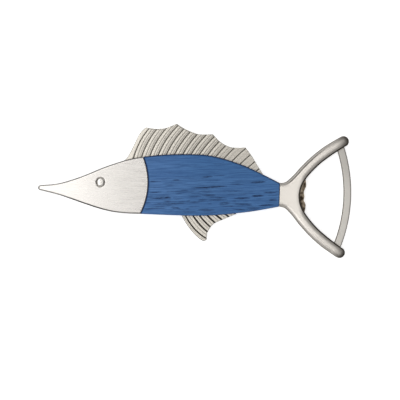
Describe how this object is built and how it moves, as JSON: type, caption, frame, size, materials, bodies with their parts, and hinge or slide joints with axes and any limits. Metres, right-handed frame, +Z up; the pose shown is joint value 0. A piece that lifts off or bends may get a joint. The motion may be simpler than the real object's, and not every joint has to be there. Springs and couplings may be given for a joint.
{
  "type": "souvenir bottle opener",
  "caption": "Fish-shaped bottle opener: metal head, blue-stained oak body, ribbed metal fins and a forked tail whose lip and bar lift a crown cap.",
  "frame": {"origin": "centre of the resting footprint, on the resting plane, with the fish lying on its back face", "axes": "+X from nose to tail, +Y from belly to back, +Z up out of the shown face"},
  "size_m": [0.18, 0.0738, 0.008],
  "materials": {
    "plate": "satin steel, antiqued dark at the lip",
    "fin": "satin cast metal, dark in the grooves",
    "head": "fine brushed, darkened edge",
    "eye": "polished dome",
    "oak": "blue-stained open-grain oak, satin",
    "fork": "satin with darkened flanks",
    "dowel": "plain drawn steel"
  },
  "bodies": {
    "root": {"opener_plate": "plate", "dorsal_fin": "fin", "anal_fin": "fin", "head_cheek_front": "head", "head_cheek_back": "head", "eye_stud_front": "eye", "eye_stud_back": "eye", "body_scale_front": "oak", "body_scale_back": "oak", "tail_fork_front": "fork", "tail_fork_back": "fork", "head_dowel_nose": "dowel", "head_dowel_gill": "dowel", "scale_dowel_front": "dowel", "scale_dowel_middle": "dowel", "scale_dowel_rear": "dowel", "dorsal_dowel_front": "dowel", "dorsal_dowel_middle": "dowel", "dorsal_dowel_rear": "dowel", "anal_dowel_front": "dowel", "anal_dowel_rear": "dowel", "tail_dowel_root": "dowel", "tail_dowel_upper": "dowel", "tail_dowel_lower": "dowel"}
  },
  "joints": []
}
